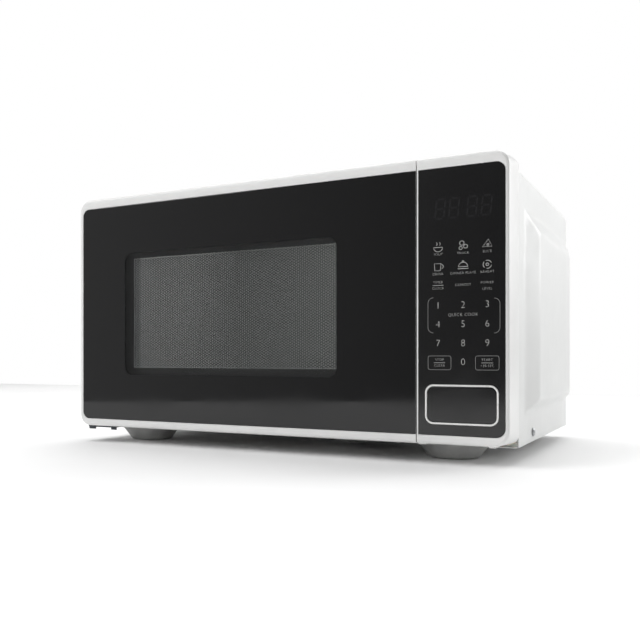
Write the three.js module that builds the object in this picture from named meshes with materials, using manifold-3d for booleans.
// Countertop microwave oven of about 20 litres, with a side-hinged door and a push-button release.
// Millimetres, +Z up. Inside the oven group X runs right from the left edge of the front, Y runs
// back from the front face, and Z runs up from the table. The group then moves the origin to the
// middle of the footprint.

import * as THREE from 'three';
import { mergeVertices } from 'three/addons/utils/BufferGeometryUtils.js';
import Module from 'manifold-3d';

const wasm = await Module();
wasm.setup();

// ---------------------------------------------------------------- driving dimensions

const GAP = 0.3; // running gap between neighbouring pieces

const FRONT = { width: 439.5, depth: 42.5, bottom: 17.2, top: 258.2, radius: 13, wall: 2.5 };
const DEPTH = 329;
const SHEET = 0.8;

const CABINET = { left: 0.5, right: 439, bottom: 12.8, top: 250.8, radius: 6, front: 43.1, hem: 10 };
const EMBOSS = { rise: 9, base: { y: [70, 318], z: [42, 219] }, top: { y: [97, 290], z: [52, 201] } };

const GLASS = { left: 4.7, right: 436.7, bottom: 24.7, top: 248.5, radius: 7.5, thick: 2 };
const SEAM = { doorEnd: 364.2, housingStart: 365.2, rim: 1.6 };

const DOOR_WINDOW = { x: [50, 304], z: [64, 208] };
const SCREEN = { x: [53, 301], z: [67, 205], y: 12 };
const HINGE = { x: 10.3, y: 32.2, pin: 2.5 };
const HOOK = { x: [349.2, 354.8], tip: 66, height: 12, lift: 2.4, at: [62, 192] };

const BUTTON = { x: [374.2, 429.2], z: [36.1, 65.1], radius: 5.1, face: 0.8, travel: 4, line: 2.3 };
const LEVER = { y: 54, z: 52, hub: 4, x: [346, 396] };

const CAVITY = { x: [20, 334], y: [44.3, 316], z: [36, 236], wall: 1 };
const FACE_PLATE = { x: [3, 362], z: [17.2, 245.6], y: [43.1, 44.3] };
const FEET = { x: [50, 380], y: [65, 285], top: 33, bottom: 21 };
const BASE = { x: [1.8, 437.7], y: [46, 324.4], z: 13.9, flange: 16 };

const TURNTABLE = { x: 177, y: 180, trayRadius: 127.5, shaft: 3 };
const ROLLER = { radius: 8, width: 6, track: 91, axle: 1.8, count: 3 };
const FAN = { x: 388, z: 190, radius: 40, blades: 5, y: 303 };
const SCREW = { head: 4, headHeight: 1.6, shank: 1.7 };

// ---------------------------------------------------------------- solid helpers

function solid(geometry) {
  const bare = geometry.index ? geometry.toNonIndexed() : geometry.clone();
  bare.deleteAttribute('normal');
  bare.deleteAttribute('uv');
  const merged = mergeVertices(bare, 1e-4);
  const index = merged.index.array;
  const triangles = [];
  for (let i = 0; i < index.length; i += 3) {
    const [a, b, c] = [index[i], index[i + 1], index[i + 2]];
    if (a !== b && b !== c && c !== a) triangles.push(a, b, c);
  }
  const vertProperties = Float32Array.from(merged.attributes.position.array);
  return new wasm.Manifold(new wasm.Mesh({ numProp: 3, vertProperties, triVerts: Uint32Array.from(triangles) }));
}

function geometryOf(manifold) {
  const mesh = manifold.getMesh();
  const geometry = new THREE.BufferGeometry();
  geometry.setAttribute('position', new THREE.BufferAttribute(mesh.vertProperties, 3));
  geometry.setIndex(new THREE.BufferAttribute(mesh.triVerts, 1));
  return geometry;
}

function join(first, ...others) {
  const whole = others.reduce((sum, other) => sum.add(solid(other)), solid(first));
  return geometryOf(whole);
}

function cut(first, ...tools) {
  const rest = tools.reduce((left, tool) => left.subtract(solid(tool)), solid(first));
  return geometryOf(rest);
}

function common(first, second) {
  return geometryOf(solid(first).intersect(solid(second)));
}

function box([x0, x1], [y0, y1], [z0, z1]) {
  const block = new THREE.BoxGeometry(x1 - x0, y1 - y0, z1 - z0);
  return block.translate((x0 + x1) / 2, (y0 + y1) / 2, (z0 + z1) / 2);
}

// A rectangle with a radius for each corner, in the order bottom left, bottom right, top right, top left.
function roundRect([a0, a1], [b0, b1], radii) {
  const [bl, br, tr, tl] = Array.isArray(radii) ? radii : [radii, radii, radii, radii];
  const shape = new THREE.Shape();
  const corner = (a, b, radius, start) => {
    if (radius) shape.absarc(a, b, radius, start, start + Math.PI / 2, false);
    else shape.lineTo(a, b);
  };
  shape.moveTo(a0 + bl, b0);
  corner(a1 - br, b0 + br, br, -Math.PI / 2);
  corner(a1 - tr, b1 - tr, tr, 0);
  corner(a0 + tl, b1 - tl, tl, Math.PI / 2);
  corner(a0 + bl, b0 + bl, bl, Math.PI);
  return shape;
}

function disc(a, b, radius, sides = 16) {
  const points = [];
  for (let i = 0; i < sides; i += 1) {
    const angle = (2 * Math.PI * i) / sides;
    points.push(new THREE.Vector2(a + radius * Math.cos(angle), b + radius * Math.sin(angle)));
  }
  return new THREE.Shape(points);
}

function outline(points) {
  return new THREE.Shape(points.map(([a, b]) => new THREE.Vector2(a, b)));
}

function extrude(shape, length, segments) {
  return new THREE.ExtrudeGeometry(shape, { depth: length, bevelEnabled: false, curveSegments: segments });
}

// An outline drawn in X and Y, raised along Z.
function alongZ(shape, [z0, z1], segments = 4) {
  return extrude(shape, z1 - z0, segments).translate(0, 0, z0);
}

// An outline drawn in X and Z, drawn out along Y.
function alongY(shape, [y0, y1], segments = 4) {
  return extrude(shape, y1 - y0, segments).rotateX(Math.PI / 2).translate(0, y1, 0);
}

// An outline drawn in Y and Z, drawn out along X.
function alongX(shape, [x0, x1], segments = 4) {
  const turn = new THREE.Matrix4().makeBasis(
    new THREE.Vector3(0, 1, 0),
    new THREE.Vector3(0, 0, 1),
    new THREE.Vector3(1, 0, 0),
  );
  return extrude(shape, x1 - x0, segments).applyMatrix4(turn).translate(x0, 0, 0);
}

// A body turned about the vertical axis through x, y. Its profile runs upwards as radius, height pairs.
function turned(profile, x, y, sides = 18) {
  const points = profile.map(([radius, height]) => new THREE.Vector2(radius, height));
  return new THREE.LatheGeometry(points, sides).rotateX(Math.PI / 2).translate(x, y, 0);
}

// A close-wound helix about the Z axis.
class Helix extends THREE.Curve {
  constructor(radius, length, turns) {
    super();
    Object.assign(this, { radius, length, turns });
  }

  getPoint(t, target = new THREE.Vector3()) {
    const angle = 2 * Math.PI * this.turns * t;
    return target.set(this.radius * Math.cos(angle), this.radius * Math.sin(angle), this.length * t);
  }
}

function coil(radius, length, turns, wire) {
  const path = new Helix(radius, length, turns);
  return new THREE.ExtrudeGeometry(disc(0, 0, wire, 4), { steps: turns * 8, extrudePath: path });
}

// ---------------------------------------------------------------- materials

function finish(color, roughness, metalness = 0) {
  return new THREE.MeshStandardMaterial({ color, roughness, metalness });
}

const paint = finish('#eef0ef', 0.4);
const bareSteel = finish('#b4b6b8', 0.4, 1);
const cavityPaint = finish('#c9cbca', 0.5);
const whitePlastic = finish('#f1f1ef', 0.45);
const blackGlass = finish('#0c0c0d', 0.06);
const blackPlastic = finish('#17171a', 0.35);
const greyPlastic = finish('#c9c9c6', 0.5);
const silver = finish('#dcdcda', 0.25, 1);
const clearGlass = finish('#dfe8e6', 0.05);
const copper = finish('#9a5a35', 0.4, 1);
const mica = finish('#b9a98a', 0.7);
const board = finish('#2c5b3a', 0.6);
const springSteel = finish('#8c8e92', 0.3, 1);
const darkSteel = finish('#54575a', 0.5, 1);

// ---------------------------------------------------------------- cabinet

// A raised field with sloping borders on a side wall, from x0 at its foot to x1 on its flat top.
function hippedBlock(x0, x1, base, top) {
  const ring = (x, field) => [
    [x, field.y[0], field.z[0]],
    [x, field.y[1], field.z[0]],
    [x, field.y[1], field.z[1]],
    [x, field.y[0], field.z[1]],
  ];
  const points = [...ring(x0, base), ...ring(x1, top)];
  const faces = [[3, 2, 1, 0], [4, 5, 6, 7], [0, 1, 5, 4], [1, 2, 6, 5], [2, 3, 7, 6], [3, 0, 4, 7]];
  const outward = x1 > x0;
  const positions = [];
  for (const [a, b, c, d] of faces) {
    for (const corner of outward ? [a, b, c, a, c, d] : [c, b, a, d, c, a]) positions.push(...points[corner]);
  }
  const geometry = new THREE.BufferGeometry();
  geometry.setAttribute('position', new THREE.Float32BufferAttribute(positions, 3));
  return geometry;
}

function cabinetForm(inset, [y0, y1], floor) {
  const { left, right, top, radius } = CABINET;
  const body = alongY(
    roundRect([left + inset, right - inset], [floor, top - inset], [0, 0, radius - inset, radius - inset]),
    [y0, y1], 5,
  );
  if (y1 < EMBOSS.base.y[1] || y0 > EMBOSS.base.y[1]) return body;
  const foot = inset - 0.05;
  return join(
    body,
    hippedBlock(right - foot - 2, right + EMBOSS.rise - inset, EMBOSS.base, EMBOSS.top),
    hippedBlock(left + foot + 2, left - EMBOSS.rise + inset, EMBOSS.base, EMBOSS.top),
  );
}

const REAR_SCREWS = [[24, 240], [416, 240], [6.5, 60], [433, 60]];
const SIDE_SCREW = { y: 110, z: 21.9 };

// The sheet is folded inwards along its two bottom edges and round its rear edge.
function cabinetWrap() {
  const { left, right, bottom, top, front, hem } = CABINET;
  const flange = [326.2, 327];
  const inside = [[front - 5, flange[0]], [flange[1], DEPTH + 5]].map((y) => cabinetForm(SHEET, y, bottom + SHEET));
  const mouth = alongY(roundRect([left + hem, right - hem], [bottom - 5, top - hem], [0, 0, 2, 2]), [front - 5, DEPTH + 5]);
  const holes = REAR_SCREWS.map(([x, z]) => alongY(disc(x, z, 2.1, 10), [325, 328]));
  const sideHoles = alongX(disc(SIDE_SCREW.y, SIDE_SCREW.z, 2.1, 10), [-20, 460]);
  return cut(cabinetForm(0, [front, DEPTH], bottom), ...inside, mouth, ...holes, sideHoles);
}

// The four feet are bowls pressed down out of the base sheet.
function basePlate() {
  const { x, y, z, flange } = BASE;
  const sheet = box(x, y, [z, z + SHEET]);
  const [left, right] = [x[0] + 0.1, x[1] - 0.1];
  const [front, rear] = [y[0] + 0.1, y[1] - 0.1];
  const rim = outline([
    [left, front], [left + SHEET, front], [left + SHEET, rear - SHEET], [right - SHEET, rear - SHEET],
    [right - SHEET, front], [right, front], [right, rear], [left, rear],
  ]);
  const flanges = alongZ(rim, [z + 0.4, z + flange]);
  const places = FEET.x.flatMap((fx) => FEET.y.map((fy) => [fx, fy]));
  const { top, bottom } = FEET;
  const bowls = places.map(([fx, fy]) => turned(
    [[0, 0], [bottom - 2, 0], [bottom + 1, 2], [top - 3, z - 1], [top, z + 0.4], [0, z + 0.4]], fx, fy,
  ));
  const hollows = places.map(([fx, fy]) => turned(
    [[0, SHEET], [bottom - 2.6, SHEET], [bottom, 2.6], [top - 4, z - 0.6], [top - 1, z + 2], [0, z + 2]], fx, fy,
  ));
  const stiffener = turned([[0, 6], [36, 6], [52, z + 0.4], [0, z + 0.4]], 285, 118);
  const stiffenerHollow = turned([[0, 6 + SHEET], [35.5, 6 + SHEET], [51, z + 2], [0, z + 2]], 285, 118);
  const slots = [];
  for (let i = 0; i < 7; i += 1) slots.push(box([348 + 11 * i, 352 + 11 * i], [130, 215], [z - 1, z + 2]));
  const sideHoles = alongX(disc(SIDE_SCREW.y, SIDE_SCREW.z, 2.1, 10), [-20, 460]);
  const plate = join(sheet, flanges, ...bowls, stiffener);
  return cut(plate, ...hollows, stiffenerHollow, ...slots, sideHoles);
}

const CORD_INLET = { x: 404, z: 52, radius: 8 };

function backPanel() {
  const panel = alongY(roundRect([2, 437.5], [15.2, 248.9], [0, 0, 4.5, 4.5]), [325, 325.8]);
  const slots = [];
  for (let i = 0; i < 9; i += 1) slots.push(box([352, 424], [324, 327], [156 + 8 * i, 159.5 + 8 * i]));
  for (let i = 0; i < 7; i += 1) slots.push(box([44 + 10 * i, 48.5 + 10 * i], [324, 327], [170, 215]));
  const screwHoles = REAR_SCREWS.map(([x, z]) => alongY(disc(x, z, 2.1, 10), [320, 329]));
  const inlet = alongY(disc(CORD_INLET.x, CORD_INLET.z, CORD_INLET.radius + GAP, 20), [324, 327]);
  return cut(panel, ...slots, ...screwHoles, inlet);
}

// A screwed-in gland whose core is shown blank: the lead is not part of this model.
function cordInlet() {
  const { x, z, radius } = CORD_INLET;
  const flange = alongY(disc(x, z, radius + 3.5, 20), [326.1, 328.4]);
  const sleeve = alongY(disc(x, z, radius, 20), [319, 326.2]);
  const recess = alongY(disc(x, z, 4, 16), [325.6, 330]);
  return cut(join(flange, sleeve), recess);
}

// A pan-head screw standing on the plane z = 0 with its shank pointing down.
function screw(length) {
  const { head, headHeight, shank } = SCREW;
  const body = turned(
    [[0, -length], [shank, -length], [shank, 0], [head, 0], [head, 0.7], [head - 1.2, headHeight], [0, headHeight]],
    0, 0, 12,
  );
  const slots = [box([-2.4, 2.4], [-0.4, 0.4], [0.8, 3]), box([-0.4, 0.4], [-2.4, 2.4], [0.8, 3])];
  return cut(body, ...slots);
}

// ---------------------------------------------------------------- cooking cavity

function cavityShell() {
  const { x, y, z, wall } = CAVITY;
  const outer = alongY(roundRect([x[0] - wall, x[1] + wall], [z[0] - wall, z[1] + wall], 9), [y[0] - 0.4, y[1] + wall]);
  const inner = alongY(roundRect(x, z, 8), [y[0] - 5, y[1]]);
  const facePlate = box(FACE_PLATE.x, FACE_PLATE.y, FACE_PLATE.z);
  const latchSlots = HOOK.at.map((low) => box([347.2, 358.4], [40, 50], [low - 5, low + HOOK.height + 7]));
  const shaftHole = alongZ(disc(TURNTABLE.x, TURNTABLE.y, 4.5), [30, 40]);
  const wavePort = box([x[1] - 2, x[1] + 3], [150, 240], [146, 178]);
  const lampHoles = [];
  for (const row of [0, 1, 2]) {
    for (const column of [0, 1, 2]) {
      lampHoles.push(alongX(disc(132 + 8 * column, 207 + 8 * row, 2, 8), [x[1] - 2, x[1] + 3]));
    }
  }
  return cut(join(outer, facePlate), inner, ...latchSlots, shaftHole, wavePort, ...lampHoles);
}

function waveguide() {
  const duct = box([335.3, 351.5], [142, 250], [138, 184]);
  const bore = box([330, 350.3], [143.2, 248.8], [139.2, 182.8]);
  const antennaHole = alongX(disc(205, 161, 9.5), [349, 353]);
  return cut(duct, bore, antennaHole);
}

function waveguideCover() {
  return box([333, 333.7], [144, 246], [140, 184]);
}

// ---------------------------------------------------------------- turntable

function turntableMotor() {
  const { x, y, shaft } = TURNTABLE;
  const can = alongZ(disc(x, y, 24.5, 24), [15.2, 34.6]);
  const ears = box([x - 32, x + 32], [y - 5, y + 5], [31.5, 33]);
  const bore = alongZ(disc(x, y, shaft + GAP), [29.5, 36]);
  return cut(join(can, ears), bore);
}

function motorShaft() {
  return alongZ(disc(TURNTABLE.x, TURNTABLE.y, TURNTABLE.shaft), [30, 44]);
}

function turntableCoupler() {
  const { x, y, shaft } = TURNTABLE;
  const lobes = [0, 1, 2].map((i) => {
    const angle = (2 * Math.PI * i) / 3;
    return alongZ(disc(x + 12 * Math.cos(angle), y + 12 * Math.sin(angle), 3.6, 12), [40, 50.5]);
  });
  const hub = alongZ(disc(x, y, 9.5, 20), [36.6, 49]);
  const bore = alongZ(disc(x, y, shaft + GAP), [30, 44.4]);
  return cut(join(hub, ...lobes), bore);
}

function glassTray() {
  const { x, y, trayRadius } = TURNTABLE;
  const dish = turned(
    [[0, 52.6], [112, 52.6], [trayRadius, 60], [trayRadius, 63.4], [124.5, 64], [109, 57.1], [0, 57.1]],
    x, y, 40,
  );
  const lugs = [0, 1, 2].map((i) => {
    const angle = Math.PI / 3 + (2 * Math.PI * i) / 3;
    return alongZ(disc(x + 13.2 * Math.cos(angle), y + 13.2 * Math.sin(angle), 2.8, 10), [45.5, 53]);
  });
  return join(dish, ...lugs);
}

// Spoked ring with a stub axle for each roller, drawn about the Z axis.
function rollerRing() {
  const height = CAVITY.z[0] + GAP + ROLLER.radius;
  const level = [height - 2, height + 2];
  const ring = disc(0, 0, 84, 30);
  ring.holes.push(disc(0, 0, 78, 30));
  const collar = disc(0, 0, 24, 18);
  collar.holes.push(disc(0, 0, 19, 18));
  const pieces = [alongZ(ring, level), alongZ(collar, level)];
  for (let i = 0; i < ROLLER.count; i += 1) {
    const turn = (2 * Math.PI * i) / ROLLER.count;
    pieces.push(box([23, 79], [-3, 3], level).rotateZ(turn));
    const axle = alongX(disc(0, height, ROLLER.axle, 8), [83, 96.5]);
    const head = alongX(disc(0, height, 3, 8), [95.2, 96.5]);
    pieces.push(axle.rotateZ(turn), head.rotateZ(turn));
  }
  return join(...pieces);
}

function roller() {
  const wheel = disc(0, 0, ROLLER.radius, 16);
  wheel.holes.push(disc(0, 0, ROLLER.axle + GAP, 8));
  return alongX(wheel, [-ROLLER.width / 2, ROLLER.width / 2]);
}

// ---------------------------------------------------------------- electrics

function magnetron() {
  const yoke = cut(box([352.6, 428], [168, 242], [122, 200]), box([354.4, 426.2], [160, 250], [123.8, 198.2]));
  const anode = alongX(disc(205, 161, 15, 12), [353, 427]);
  const antenna = alongX(disc(205, 161, 7.5, 10), [341, 354]);
  const fins = [];
  for (let i = 0; i < 6; i += 1) fins.push(box([364 + 10 * i, 364.8 + 10 * i], [172, 238], [123, 199]));
  return join(yoke, anode, antenna, ...fins);
}

function filterBox() {
  const can = box([362, 426], [176, 234], [94, 121.6]);
  const terminals = [196, 214].map((y) => box([382, 390], [y - 3, y + 3], [88, 95]));
  return join(can, ...terminals);
}

function transformerCore() {
  const core = box([352, 428], [165, 225], [20, 84]);
  const windows = [[362, 378], [402, 418]].map((x) => box(x, [160, 230], [34, 70]));
  const foot = box([346, 433], [163, 227], [18.2, 20.2]);
  return join(cut(core, ...windows), foot);
}

function winding(z) {
  const spool = roundRect([362.4, 417.6], [152, 238], 8);
  spool.holes.push(roundRect([377.7, 402.3], [164.7, 225.3], 0));
  return alongZ(spool, z);
}

function stadium([x0, x1], [y0, y1], grow = 0) {
  const radius = (y1 - y0) / 2 + grow;
  return roundRect([x0 - grow, x1 + grow], [y0 - grow, y1 + grow], radius - 0.01);
}

const CAPACITOR = { x: [342, 390], y: [268, 298], z: [16, 96] };

function capacitor() {
  const can = alongZ(stadium(CAPACITOR.x, CAPACITOR.y), CAPACITOR.z, 5);
  const tabs = [358, 374].map((x) => box([x - 3, x + 3], [282.6, 283.4], [95, 104]));
  return join(can, ...tabs);
}

function capacitorClamp() {
  const band = stadium(CAPACITOR.x, CAPACITOR.y, 1.4);
  band.holes.push(stadium(CAPACITOR.x, CAPACITOR.y, GAP));
  const foot = box([391.2, 402], [278, 288], [46, 47.5]);
  return join(alongZ(band, [46, 60], 5), foot);
}

function diode() {
  const body = alongZ(disc(412, 283, 3.2, 10), [28, 48]);
  const leads = alongZ(disc(412, 283, 0.8, 6), [17, 60]);
  return join(body, leads);
}

// Fan, drawn about the Y axis.
function fanBlade() {
  const hub = alongY(disc(0, 0, 12, 20), [-6, 6]);
  const shaft = alongY(disc(0, 0, 1.6, 10), [-21, -5]);
  const blades = [];
  for (let i = 0; i < FAN.blades; i += 1) {
    const blade = box([9, FAN.radius - 1.5], [-0.7, 0.7], [-9, 9]).rotateX(Math.PI / 5);
    blades.push(blade.rotateY((2 * Math.PI * i) / FAN.blades));
  }
  return join(hub, shaft, ...blades);
}

function fanMotor() {
  const frame = box([-20, 20], [264, 291], [-18, 18]);
  const bore = alongY(disc(0, 0, 2, 10), [279, 295]);
  const rotorCap = alongY(disc(0, 0, 9, 16), [290, 293.5]);
  const windingCap = box([-12, 12], [260, 295], [18, 25]);
  return cut(join(frame, rotorCap, windingCap), bore).translate(FAN.x, 0, FAN.z);
}

// Plate and collar round the blades, with a cage that carries the motor.
function fanShroud() {
  const plate = box([-46, 46], [313, 314.5], [-46, 46]);
  const collar = disc(0, 0, 44.5, 32);
  collar.holes.push(disc(0, 0, 42.5, 32));
  const throat = alongY(disc(0, 0, 42.5, 32), [300, 320]);
  const ribs = [-46, 43.5].map((x) => box([x, x + 2.5], [257, 314], [-4, 4]));
  const bridge = box([-46, 46], [257, 259.4], [-4, 4]);
  return join(cut(plate, throat), alongY(collar, [294, 313.2]), ...ribs, bridge).translate(FAN.x, 0, FAN.z);
}

function ovenLamp() {
  const bulb = new THREE.SphereGeometry(10, 16, 10).translate(349, 140, 215);
  const neck = alongY(disc(349, 215, 5.5, 12), [148, 156]);
  return join(bulb, neck);
}

function lampSocket() {
  const cup = alongY(disc(349, 215, 9, 16), [152, 168]);
  const bore = alongY(disc(349, 215, 6, 12), [150, 156.4]);
  const bracket = box([337, 349], [166, 168], [210, 220]);
  return cut(join(cup, bracket), bore);
}

function thermalCutout() {
  const cap = alongZ(disc(250, 200, 8, 16), [238.6, 244]);
  const flange = box([236, 264], [195, 205], [237.4, 238.8]);
  return join(cap, flange);
}

function noiseFilterBoard() {
  const card = box([338, 339.6], [104, 136], [60, 130]);
  const choke = alongX(disc(120, 108, 11, 16), [339, 350]);
  const fuse = box([339, 347], [106, 112], [66, 96]);
  const filterCapacitor = box([339, 348], [118, 132], [66, 84]);
  return join(card, choke, fuse, filterCapacitor);
}

function microSwitch(low) {
  const body = box([343, 353.4], [69, 96], [low, low + 15.8]);
  const plunger = box([346.5, 350], [67.2, 70], [low + 4, low + 8]);
  const terminals = [3, 11].map((rise) => box([346, 350], [95, 102], [low + rise, low + rise + 0.8]));
  return join(body, plunger, ...terminals);
}

// Side plate with a catch ledge ahead of each hook, and bearings for the release lever.
function interlockBracket() {
  const plate = box([358.6, 361], [46.4, 66], [30, 216]);
  const ledges = HOOK.at.map((low) => box([346.5, 359], [48, 54.5], [low - 4.6, low - 0.6]));
  const foot = box([361, 395.6], [60.5, 66], [30, 34]);
  const farEar = box([393.2, 395.6], [47, 66], [30, 60]);
  const bearing = alongX(disc(LEVER.y, LEVER.z, LEVER.hub + GAP), [357, 400]);
  return cut(join(plate, ...ledges, foot, farEar), bearing);
}

// Bell crank: the button pushes its lower arm back, and its rear arm lifts the latch hook.
function latchLever() {
  const { y, z, hub, x } = LEVER;
  const shaft = alongX(disc(y, z, hub), x);
  const lowerArm = alongX(outline([[y - 3.6, z], [y - 3.6, z - 16], [y - 0.4, z - 16], [y + 2, z]]), [378, 391]);
  const rearArm = alongX(outline([[y, z + 1.5], [y + 2.5, z - 2.5], [y + 10.3, z + 7], [y + 7.7, z + 8.9]]), [347, 357]);
  return join(shaft, lowerArm, rearArm);
}

// ---------------------------------------------------------------- control housing

function controlHousing() {
  const { width, depth, bottom, top, radius, wall } = FRONT;
  const left = SEAM.housingStart;
  const shell = alongY(roundRect([left, width], [bottom, top], [0.8, radius, radius, 0.8]), [0, depth], 8);
  const recess = alongY(
    roundRect([left + SEAM.rim, GLASS.right], [GLASS.bottom, GLASS.top], [1, GLASS.radius, GLASS.radius, 1]),
    [-1, GLASS.thick + GAP], 6,
  );
  const front = GLASS.thick + GAP + wall;
  const hollow = alongY(
    roundRect([left + wall, width - wall], [bottom + wall, top - wall], [0.5, radius - wall, radius - wall, 0.5]),
    [front, depth + 1], 6,
  );
  const buttonHole = alongY(roundRect(grow(BUTTON.x, GAP), grow(BUTTON.z, GAP), BUTTON.radius + GAP), [-1, front + 1], 5);
  const display = box([378, 428], [-1, front + 1], [208, 238]);
  return cut(shell, recess, hollow, buttonHole, display);
}

function grow([low, high], by) {
  return [low - by, high + by];
}

function controlOverlay() {
  const { right, bottom, top, radius, thick } = GLASS;
  const left = SEAM.housingStart + SEAM.rim + GAP;
  const face = roundRect([left, right - GAP], [bottom + GAP, top - GAP], [1, radius - GAP, radius - GAP, 1]);
  const clear = BUTTON.line + 2 * GAP;
  face.holes.push(roundRect(grow(BUTTON.x, clear), grow(BUTTON.z, clear), BUTTON.radius + clear));
  return alongY(face, [0, thick], 6);
}

function buttonRing() {
  const ring = roundRect(grow(BUTTON.x, GAP + BUTTON.line), grow(BUTTON.z, GAP + BUTTON.line), BUTTON.radius + BUTTON.line);
  ring.holes.push(roundRect(grow(BUTTON.x, GAP), grow(BUTTON.z, GAP), BUTTON.radius + GAP));
  return alongY(ring, [0, GLASS.thick], 6);
}

function releaseButton() {
  const { x, z, radius, face } = BUTTON;
  const cap = alongY(roundRect(x, z, radius), [face, 9], 5);
  const rim = alongY(roundRect(grow(x, 2), grow(z, 2), radius + 2), [5.2, 7], 5);
  const stem = box([380, 389], [8, LEVER.y - 3.6 - GAP], [36.6, 39.4]);
  return join(cap, rim, stem);
}

function controlBoard() {
  const card = box([369.5, 434.5], [21, 22.6], [96, 244]);
  const relay = box([376, 394], [22.4, 38], [112, 128]);
  const supply = box([402, 428], [22.4, 40], [104, 134]);
  const smoothing = alongY(disc(384, 152, 6, 12), [22.4, 38]);
  const connector = box([408, 428], [22.4, 31], [160, 168]);
  return join(card, relay, supply, smoothing, connector);
}

function displayModule() {
  return box([376, 430], [6, 20.7], [206, 240]);
}

// ---------------------------------------------------------------- door

// The door seen from above. Its rear left edge is an arc about the hinge pin, so it clears the cabinet.
function doorPlan(inset, left, right, front, rear) {
  const plan = new THREE.Shape();
  plan.moveTo(right, front);
  plan.lineTo(right, rear);
  plan.lineTo(HINGE.x, rear);
  plan.absarc(HINGE.x, HINGE.y, HINGE.x - inset, Math.PI / 2, Math.PI, false);
  plan.lineTo(left, front);
  return plan;
}

function doorFrame() {
  const { depth, bottom, top, radius, wall } = FRONT;
  const end = SEAM.doorEnd;
  const face = alongY(roundRect([0, end], [bottom, top], [radius, 0.8, 0.8, radius]), [0, depth], 8);
  const body = common(face, alongZ(doorPlan(0, 0, end, 0, depth), [bottom - 1, top + 1], 6));
  const glassSeat = alongY(
    roundRect([GLASS.left, end + 5], [GLASS.bottom, GLASS.top], [GLASS.radius, 0, 0, GLASS.radius]),
    [-1, GLASS.thick + GAP], 6,
  );
  const floor = GLASS.thick + GAP + wall;
  const hollow = alongZ(doorPlan(wall, wall, end - wall, floor, depth + 5), [bottom + wall, top - wall], 5);
  const window = box(DOOR_WINDOW.x, [-1, floor + 1], DOOR_WINDOW.z);
  const shelf = box([2, 22], [floor - 1, 37], [236, 239]);
  const springPost = box([334, 345], [floor - 1, 34], [86, 89]);
  const pinHole = alongZ(disc(HINGE.x, HINGE.y, HINGE.pin + GAP), [10, 24]);
  const upperPinHole = alongZ(disc(HINGE.x, HINGE.y, HINGE.pin + GAP), [230, 245]);
  const hingeSlot = box([-1, 21], [23, 45], [245.8, 248.8]);
  return cut(join(cut(body, hollow), shelf, springPost), glassSeat, window, pinHole, upperPinHole, hingeSlot);
}

function doorGlass() {
  const { left, bottom, top, radius, thick } = GLASS;
  const corner = radius - GAP;
  const face = roundRect([left + GAP, SEAM.doorEnd], [bottom + GAP, top - GAP], [corner, 0.5, 0.5, corner]);
  return alongY(face, [0, thick], 6);
}

// Drawn steel pan behind the glass, with the flange that faces the cavity when the door is shut.
function chokePan() {
  const { x, z, y } = SCREEN;
  const flange = box([14.5, 358.5], [38, 39], [22, 243.5]);
  const pan = box(grow(x, 2), [y + 1.6, 38.5], grow(z, 2));
  const hollow = box(grow(x, 1), [y, 45], grow(z, 1));
  const slots = HOOK.at.map((low) => box([347.6, 356.4], [36, 41], [low - 2, low + HOOK.height + 4]));
  return cut(join(flange, pan), hollow, ...slots);
}

function doorScreen() {
  const { x, z, y } = SCREEN;
  return box(grow(x, 0.6), [y, y + 0.6], grow(z, 0.6));
}

function innerWindow() {
  const { x, z, y } = SCREEN;
  return box(grow(x, 0.6), [y + 1, y + 1.5], grow(z, 0.6));
}

function chokeCover() {
  const ring = roundRect([11.2, 361.2], [20.2, 244.6], 2);
  ring.holes.push(roundRect([44, 310], [58, 214], 6));
  const slots = HOOK.at.map((low) => box([347.6, 356.4], [39, 44], [low - 2, low + HOOK.height + 4]));
  return cut(alongY(ring, [40.3, 42.3]), ...slots);
}

// One sliding bar carries both hooks. Their noses point down.
function latchHooks() {
  const [x0, x1] = HOOK.x;
  const bar = box(HOOK.x, [24, 33], [58, 208]);
  const arms = HOOK.at.map((low) => box(HOOK.x, [32, HOOK.tip], [low + 4, low + HOOK.height]));
  const noses = HOOK.at.map((low) => {
    const nose = outline([[57.5, low + 5], [57.5, low], [61.5, low], [HOOK.tip, low + 3.4], [HOOK.tip, low + 5]]);
    return alongX(nose, [x0, x1]);
  });
  const lug = box([335, x0 + 1], [25, 33], [131, 134]);
  return join(bar, ...arms, ...noses, lug);
}

function latchSpring() {
  return coil(3.6, 39.4, 7, 0.55).translate(340, 29, 90.2);
}

function leverSpring() {
  return coil(5.6, 9, 4, 0.5).rotateY(Math.PI / 2).translate(364, LEVER.y, LEVER.z);
}

// The plate lies under the door, with its pin standing up into the door.
function lowerHinge() {
  const plate = alongZ(roundRect([3, 40], [9, 60], 4), [15.1, 16.8]);
  const ears = [[3.5, 12], [33, 39.5]].map((x) => box(x, [12, 13.4], [12.6, 15.6]));
  const tab = box([4, 17.6], [44.7, 46.2], [15.1, 40]);
  const pin = alongZ(disc(HINGE.x, HINGE.y, HINGE.pin), [16, 30]);
  return join(plate, ...ears, tab, pin);
}

function upperHinge() {
  const plate = alongZ(roundRect([4, 17.6], [25, 58], 3), [246.3, 248.1]);
  const tab = box([4, 17.6], [44.7, 46.2], [220, 247]);
  const pin = alongZ(disc(HINGE.x, HINGE.y, HINGE.pin), [232, 247]);
  return join(plate, tab, pin);
}

// ---------------------------------------------------------------- assembly

const oven = new THREE.Group();
oven.position.set(-FRONT.width / 2, -DEPTH / 2, 0);

function add(name, geometry, material, parent = oven) {
  const mesh = new THREE.Mesh(geometryOf(solid(geometry)), material);
  mesh.name = name;
  parent.add(mesh);
  return mesh;
}

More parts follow.
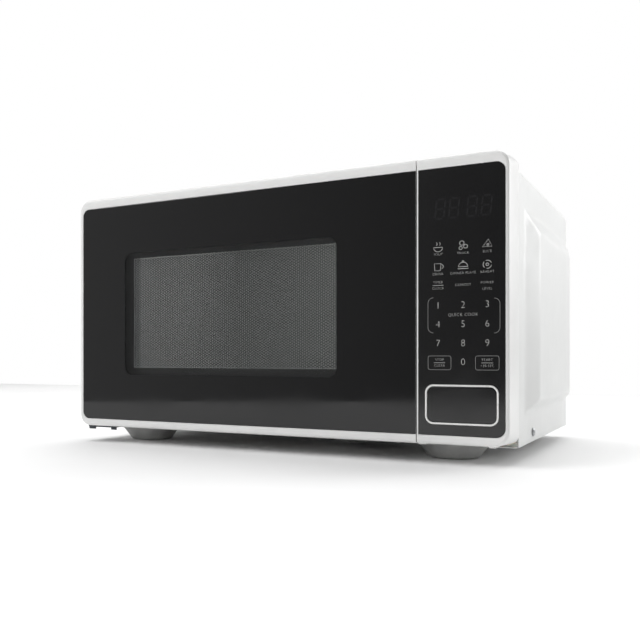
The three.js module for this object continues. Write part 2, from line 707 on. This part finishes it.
function addCabinet() {
  add('cabinet_wrap', cabinetWrap(), paint);
  add('base_plate', basePlate(), bareSteel);
  add('back_panel', backPanel(), bareSteel);
  add('cord_inlet', cordInlet(), blackPlastic);
  REAR_SCREWS.forEach(([x, z], i) => {
    const rear = add(`rear_screw_${i + 1}`, screw(9), silver);
    rear.position.set(x, 327.3, z);
    rear.rotation.x = -Math.PI / 2;
  });
  [-1, 1].forEach((side, i) => {
    const fixing = add(`side_screw_${i + 1}`, screw(8), silver);
    fixing.position.set(side > 0 ? CABINET.right + GAP : CABINET.left - GAP, SIDE_SCREW.y, SIDE_SCREW.z);
    fixing.rotation.y = (side * Math.PI) / 2;
  });
}

function addCavity() {
  add('cavity_shell', cavityShell(), cavityPaint);
  add('waveguide', waveguide(), bareSteel);
  add('waveguide_cover', waveguideCover(), mica);
  add('oven_lamp', ovenLamp(), clearGlass);
  add('lamp_socket', lampSocket(), greyPlastic);
  add('thermal_cutout', thermalCutout(), darkSteel);
}

function addTurntable() {
  add('turntable_motor', turntableMotor(), bareSteel);
  add('motor_shaft', motorShaft(), greyPlastic);
  add('turntable_coupler', turntableCoupler(), greyPlastic);
  add('glass_tray', glassTray(), clearGlass);
  const ringGroup = new THREE.Group();
  ringGroup.position.set(TURNTABLE.x, TURNTABLE.y, 0);
  oven.add(ringGroup);
  add('roller_ring', rollerRing(), greyPlastic, ringGroup);
  for (let i = 0; i < ROLLER.count; i += 1) {
    const arm = new THREE.Group();
    arm.rotation.z = (2 * Math.PI * i) / ROLLER.count;
    ringGroup.add(arm);
    const wheel = add(`roller_${i + 1}`, roller(), greyPlastic, arm);
    wheel.position.set(ROLLER.track, 0, CAVITY.z[0] + GAP + ROLLER.radius);
  }
}

function addElectrics() {
  add('magnetron', magnetron(), bareSteel);
  add('magnetron_filter_box', filterBox(), bareSteel);
  add('transformer_core', transformerCore(), darkSteel);
  add('primary_winding', winding([34.3, 51.5]), copper);
  add('secondary_winding', winding([52.5, 69.7]), copper);
  add('hv_capacitor', capacitor(), bareSteel);
  add('capacitor_clamp', capacitorClamp(), bareSteel);
  add('hv_diode', diode(), blackPlastic);
  add('noise_filter_board', noiseFilterBoard(), board);
  add('fan_shroud', fanShroud(), greyPlastic);
  add('fan_motor', fanMotor(), darkSteel);
  add('fan_blade', fanBlade(), greyPlastic).position.set(FAN.x, FAN.y, FAN.z);
}

function addControls() {
  add('control_housing', controlHousing(), whitePlastic);
  add('control_overlay', controlOverlay(), blackGlass);
  add('button_ring', buttonRing(), silver);
  add('release_button', releaseButton(), blackPlastic);
  add('control_board', controlBoard(), board);
  add('display_module', displayModule(), blackPlastic);
  add('interlock_bracket', interlockBracket(), greyPlastic);
  add('latch_lever', latchLever(), greyPlastic);
  add('lever_spring', leverSpring(), springSteel);
  add('primary_switch', microSwitch(190), blackPlastic);
  add('secondary_switch', microSwitch(60), blackPlastic);
  add('monitor_switch', microSwitch(42), blackPlastic);
}

function addDoor() {
  add('lower_hinge', lowerHinge(), darkSteel);
  add('upper_hinge', upperHinge(), darkSteel);
  add('door_frame', doorFrame(), whitePlastic);
  add('door_glass', doorGlass(), blackGlass);
  add('choke_pan', chokePan(), bareSteel);
  add('door_screen', doorScreen(), darkSteel);
  add('inner_window', innerWindow(), clearGlass);
  add('choke_cover', chokeCover(), blackPlastic);
  add('latch_hooks', latchHooks(), greyPlastic);
  add('latch_spring', latchSpring(), springSteel);
}

addCabinet();
addCavity();
addTurntable();
addElectrics();
addControls();
addDoor();

const microwave = new THREE.Group();
microwave.add(oven);

export default microwave;
